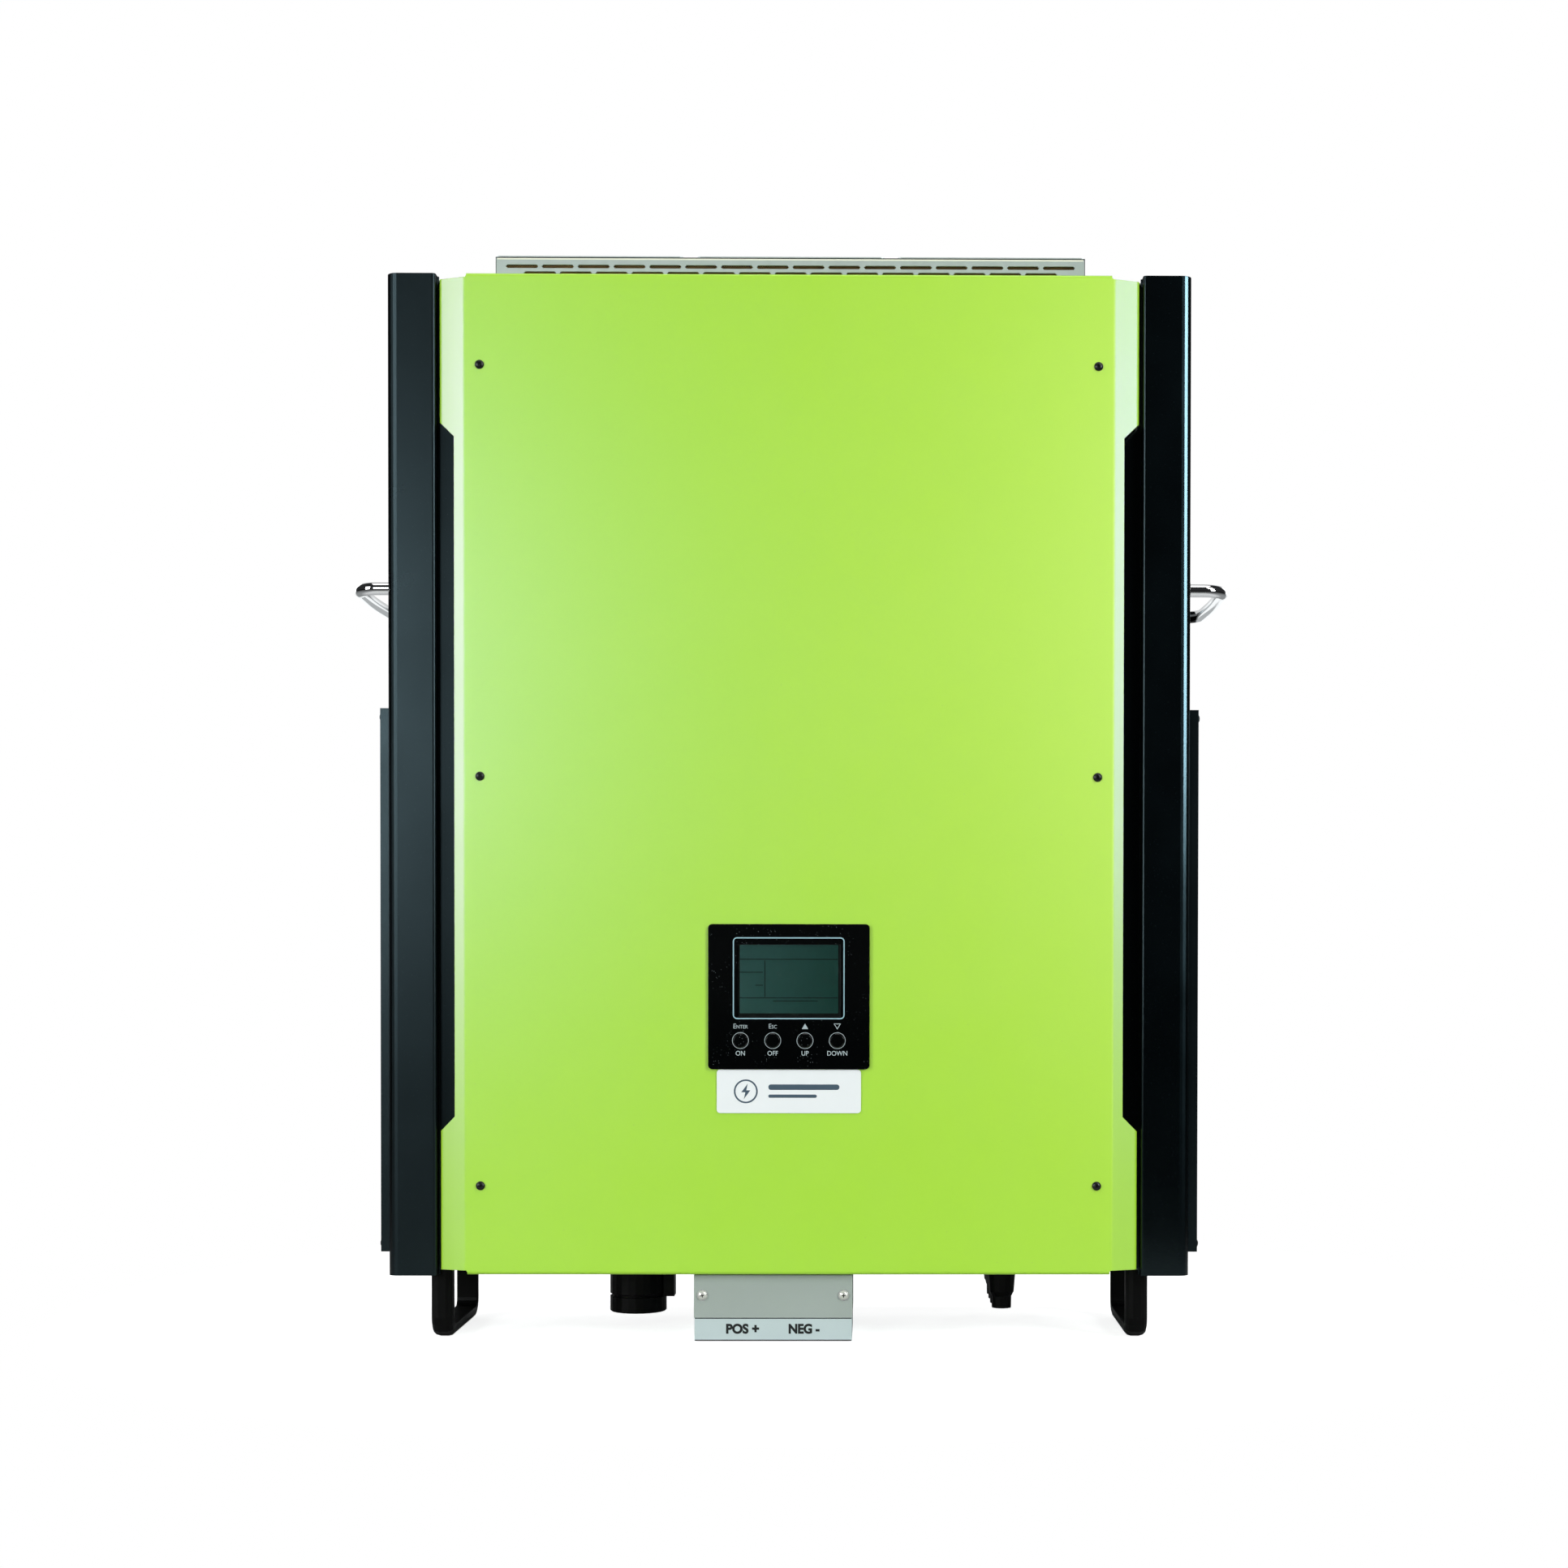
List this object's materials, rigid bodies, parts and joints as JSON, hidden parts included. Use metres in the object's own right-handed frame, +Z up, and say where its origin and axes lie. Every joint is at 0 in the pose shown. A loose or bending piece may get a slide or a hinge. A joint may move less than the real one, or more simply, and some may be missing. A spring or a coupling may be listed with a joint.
{
  "type": "string inverter",
  "caption": "Wall-hung hybrid string inverter with a folded front cover, side covers, display with buttons, top fans, carry handles and sockets underneath.",
  "frame": {"origin": "centre of the wall bracket's back face, level with the middle of the casing's height", "axes": "+Z up, +X to the right of someone facing the front, -Y out of the front, +Y into the wall"},
  "size_m": [0.5604, 0.1776, 0.6782],
  "materials": {
    "green_paint": "satin",
    "black_paint": "matte",
    "zinc_steel": "satin",
    "chrome": "polished",
    "aluminium": "satin",
    "black_plastic": "matte",
    "gloss_black": "gloss",
    "display_glass": "gloss",
    "circuit_board": "satin",
    "capacitor_sleeve": "satin",
    "copper_winding": "satin",
    "brass": "satin",
    "white_label": "matte",
    "grey_cable": "matte",
    "black_screw": "satin",
    "bright_screw": "satin"
  },
  "bodies": {
    "casing": {"chassis": "zinc_steel", "wall_bracket": "zinc_steel", "top_vent_box": "zinc_steel", "battery_terminal_cover": "zinc_steel", "battery_cover_lid": "zinc_steel", "fan_guard_left": "zinc_steel", "fan_guard_middle": "zinc_steel", "fan_guard_right": "zinc_steel", "front_cover": "green_paint", "left_side_cover": "black_paint", "right_side_cover": "black_paint", "left_inlet_grille": "black_paint", "right_inlet_grille": "black_paint", "fan_frame_left": "black_plastic", "fan_frame_middle": "black_plastic", "fan_frame_right": "black_plastic", "left_foot": "black_plastic", "right_foot": "black_plastic", "grid_connector": "black_plastic", "load_connector": "black_plastic", "battery_terminal_block": "black_plastic", "solar_connector_1": "black_plastic", "solar_connector_2": "black_plastic", "solar_connector_3": "black_plastic", "solar_connector_4": "black_plastic", "left_carry_handle": "chrome", "right_carry_handle": "chrome", "display_bezel": "gloss_black", "display_window": "display_glass", "display_module": "display_glass", "display_board": "circuit_board", "power_board": "circuit_board", "control_board": "circuit_board", "blank_label": "white_label", "positive_stud": "brass", "negative_stud": "brass", "vent_mesh": "brass", "heatsink": "aluminium", "bus_capacitor_1": "capacitor_sleeve", "bus_capacitor_2": "capacitor_sleeve", "bus_capacitor_3": "capacitor_sleeve", "bus_capacitor_4": "capacitor_sleeve", "filter_choke_left": "copper_winding", "filter_choke_right": "copper_winding", "ribbon_cable": "grey_cable", "cover_screw_1": "black_screw", "cover_screw_2": "black_screw", "cover_screw_3": "black_screw", "cover_screw_4": "black_screw", "cover_screw_5": "black_screw", "cover_screw_6": "black_screw", "battery_cover_screw_left": "bright_screw", "battery_cover_screw_right": "bright_screw"},
    "fan_rotor_left": {"fan_rotor_left": "black_plastic"},
    "fan_rotor_middle": {"fan_rotor_middle": "black_plastic"},
    "fan_rotor_right": {"fan_rotor_right": "black_plastic"},
    "enter_button": {"enter_button": "gloss_black"},
    "escape_button": {"escape_button": "gloss_black"},
    "up_button": {"up_button": "gloss_black"},
    "down_button": {"down_button": "gloss_black"}
  },
  "joints": [
    {"name": "fan_spin_left", "type": "hinge", "parent": "casing", "child": "fan_rotor_left", "pos_m": [-0.1258, -0.083, 0.296], "axis": [0, 0, 1], "continuous": true},
    {"name": "fan_spin_middle", "type": "hinge", "parent": "casing", "child": "fan_rotor_middle", "pos_m": [0, -0.083, 0.296], "axis": [0, 0, 1], "continuous": true},
    {"name": "fan_spin_right", "type": "hinge", "parent": "casing", "child": "fan_rotor_right", "pos_m": [0.1258, -0.083, 0.296], "axis": [0, 0, 1], "continuous": true},
    {"name": "enter_press", "type": "slide", "parent": "casing", "child": "enter_button", "axis": [0, 1, 0], "range_m": [0, 0.0008], "stiffness_N_per_m": 900},
    {"name": "escape_press", "type": "slide", "parent": "casing", "child": "escape_button", "axis": [0, 1, 0], "range_m": [0, 0.0008], "stiffness_N_per_m": 900},
    {"name": "up_press", "type": "slide", "parent": "casing", "child": "up_button", "axis": [0, 1, 0], "range_m": [0, 0.0008], "stiffness_N_per_m": 900},
    {"name": "down_press", "type": "slide", "parent": "casing", "child": "down_button", "axis": [0, 1, 0], "range_m": [0, 0.0008], "stiffness_N_per_m": 900}
  ]
}
